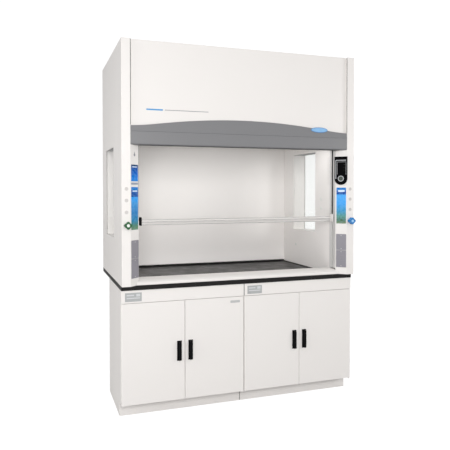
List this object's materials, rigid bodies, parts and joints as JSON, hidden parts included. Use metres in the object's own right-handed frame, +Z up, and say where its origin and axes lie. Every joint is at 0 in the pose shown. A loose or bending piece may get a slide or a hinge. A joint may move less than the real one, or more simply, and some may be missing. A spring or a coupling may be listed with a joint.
{
  "type": "fume hood",
  "caption": "Bench fume hood with a counterbalanced vertical glass sash, side windows and airflow alarm, on a black resin worksurface over a double base cabinet.",
  "frame": {"origin": "on the floor, under the middle of the whole object's box", "axes": "+X to the user's right across the width, +Y from the sash to the rear, +Z up"},
  "size_m": [1.8288, 1.0032, 2.6226],
  "materials": {
    "white_paint": "satin powder coat, off-white",
    "liner_white": "smooth moulded liner, off-white",
    "header_grey": "satin dark grey",
    "black_resin": "honed black epoxy resin",
    "black_plastic": "fine-textured black",
    "black_gloss": "polished black",
    "satin_aluminium": "satin anodised",
    "steel": "bright zinc-plated",
    "cast_iron": "painted casting",
    "clear_glass": "clear laminated safety glass",
    "grey_plastic": "satin grey",
    "knob_green": "moulded green",
    "knob_blue": "moulded blue",
    "brass": "machined",
    "filter_grey": "pleated filter media",
    "lamp_white": "opal diffuser"
  },
  "bodies": {
    "root": {"cabinet_left_body": "white_paint", "cabinet_right_body": "white_paint", "airfoil_sill": "white_paint", "left_outer_panel": "white_paint", "right_outer_panel": "white_paint", "left_corner_post": "white_paint", "right_corner_post": "white_paint", "rear_panel": "white_paint", "roof_panel": "white_paint", "upper_front_panel": "white_paint", "left_inner_liner": "liner_white", "right_inner_liner": "liner_white", "rear_baffle": "liner_white", "chamber_ceiling": "liner_white", "arched_header": "header_grey", "worksurface": "black_resin", "monitor_housing": "black_plastic", "monitor_lens": "black_gloss", "left_sash_track": "satin_aluminium", "right_sash_track": "satin_aluminium", "left_pulley_bracket": "steel", "right_pulley_bracket": "steel", "left_top_cable": "steel", "right_top_cable": "steel", "fan_plenum": "steel", "left_outer_window": "clear_glass", "left_inner_window": "clear_glass", "right_outer_window": "clear_glass", "right_inner_window": "clear_glass", "left_service_plate": "grey_plastic", "right_service_plate": "grey_plastic", "left_valve_body": "brass", "right_valve_body": "brass", "filter_bank": "filter_grey", "light_fixture": "lamp_white"},
    "sash": {"sash_glass": "clear_glass", "sash_handle_rail": "satin_aluminium", "sash_top_clamp": "satin_aluminium", "left_sash_end_cap": "black_plastic", "right_sash_end_cap": "black_plastic", "left_front_cable": "steel", "right_front_cable": "steel"},
    "counterweight": {"counterweight_bar": "cast_iron", "left_rear_cable": "steel", "right_rear_cable": "steel"},
    "front_shaft": {"front_pulley_shaft": "steel"},
    "rear_shaft": {"rear_pulley_shaft": "steel"},
    "left_door_a": {"cabinet_left_door_a": "white_paint", "pull_left_a": "black_plastic"},
    "left_door_b": {"cabinet_left_door_b": "white_paint", "pull_left_b": "black_plastic"},
    "right_door_a": {"cabinet_right_door_a": "white_paint", "pull_right_a": "black_plastic"},
    "right_door_b": {"cabinet_right_door_b": "white_paint", "pull_right_b": "black_plastic"},
    "left_knob": {"left_valve_knob": "knob_green"},
    "right_knob": {"right_valve_knob": "knob_blue"},
    "airflow_button": {"monitor_button": "grey_plastic"},
    "left_fan": {"left_fan_impeller": "black_plastic"},
    "right_fan": {"right_fan_impeller": "black_plastic"}
  },
  "joints": [
    {"name": "sash_slide", "type": "slide", "parent": "root", "child": "sash", "axis": [0, 0, 1], "range_m": [-0.367, 0.273], "deforming": ["left_front_cable", "right_front_cable"]},
    {"name": "counterweight_slide", "type": "slide", "parent": "root", "child": "counterweight", "axis": [0, 0, 1], "range_m": [-0.274, 0.368], "deforming": ["left_rear_cable", "right_rear_cable"]},
    {"name": "front_shaft_turn", "type": "hinge", "parent": "root", "child": "front_shaft", "pos_m": [0, -0.31496, 2.58445], "axis": [1, 0, 0], "range_deg": [-660, 890]},
    {"name": "rear_shaft_turn", "type": "hinge", "parent": "root", "child": "rear_shaft", "pos_m": [0, 0.44577, 2.58445], "axis": [1, 0, 0], "range_deg": [-660, 890]},
    {"name": "left_door_a_hinge", "type": "hinge", "parent": "root", "child": "left_door_a", "pos_m": [-0.90335, -0.40958, 0.4572], "axis": [0, 0, -1], "range_deg": [0, 105]},
    {"name": "left_door_b_hinge", "type": "hinge", "parent": "root", "child": "left_door_b", "pos_m": [-0.01156, -0.40958, 0.4572], "axis": [0, 0, 1], "range_deg": [0, 85]},
    {"name": "right_door_a_hinge", "type": "hinge", "parent": "root", "child": "right_door_a", "pos_m": [0.01156, -0.40958, 0.4572], "axis": [0, 0, -1], "range_deg": [0, 85]},
    {"name": "right_door_b_hinge", "type": "hinge", "parent": "root", "child": "right_door_b", "pos_m": [0.90335, -0.40958, 0.4572], "axis": [0, 0, 1], "range_deg": [0, 105]},
    {"name": "left_knob_turn", "type": "hinge", "parent": "root", "child": "left_knob", "pos_m": [-0.8763, -0.4572, 1.35382], "axis": [0, -1, 0], "range_deg": [0, 540]},
    {"name": "right_knob_turn", "type": "hinge", "parent": "root", "child": "right_knob", "pos_m": [0.8763, -0.4572, 1.35382], "axis": [0, -1, 0], "range_deg": [0, 540]},
    {"name": "airflow_button_press", "type": "slide", "parent": "root", "child": "airflow_button", "axis": [0.6373, 0.7706, 0], "range_m": [0, 0.002], "stiffness_N_per_m": 400},
    {"name": "left_fan_spin", "type": "hinge", "parent": "root", "child": "left_fan", "pos_m": [-0.381, 0.0635, 2.3368], "axis": [0, 0, 1], "continuous": true},
    {"name": "right_fan_spin", "type": "hinge", "parent": "root", "child": "right_fan", "pos_m": [0.381, 0.0635, 2.3368], "axis": [0, 0, 1], "continuous": true}
  ],
  "couplings": [
    {"joint": "counterweight_slide", "follows": "sash_slide", "ratio": -1},
    {"joint": "front_shaft_turn", "follows": "sash_slide", "rad_per_m": -41.442},
    {"joint": "rear_shaft_turn", "follows": "sash_slide", "rad_per_m": -41.442}
  ]
}
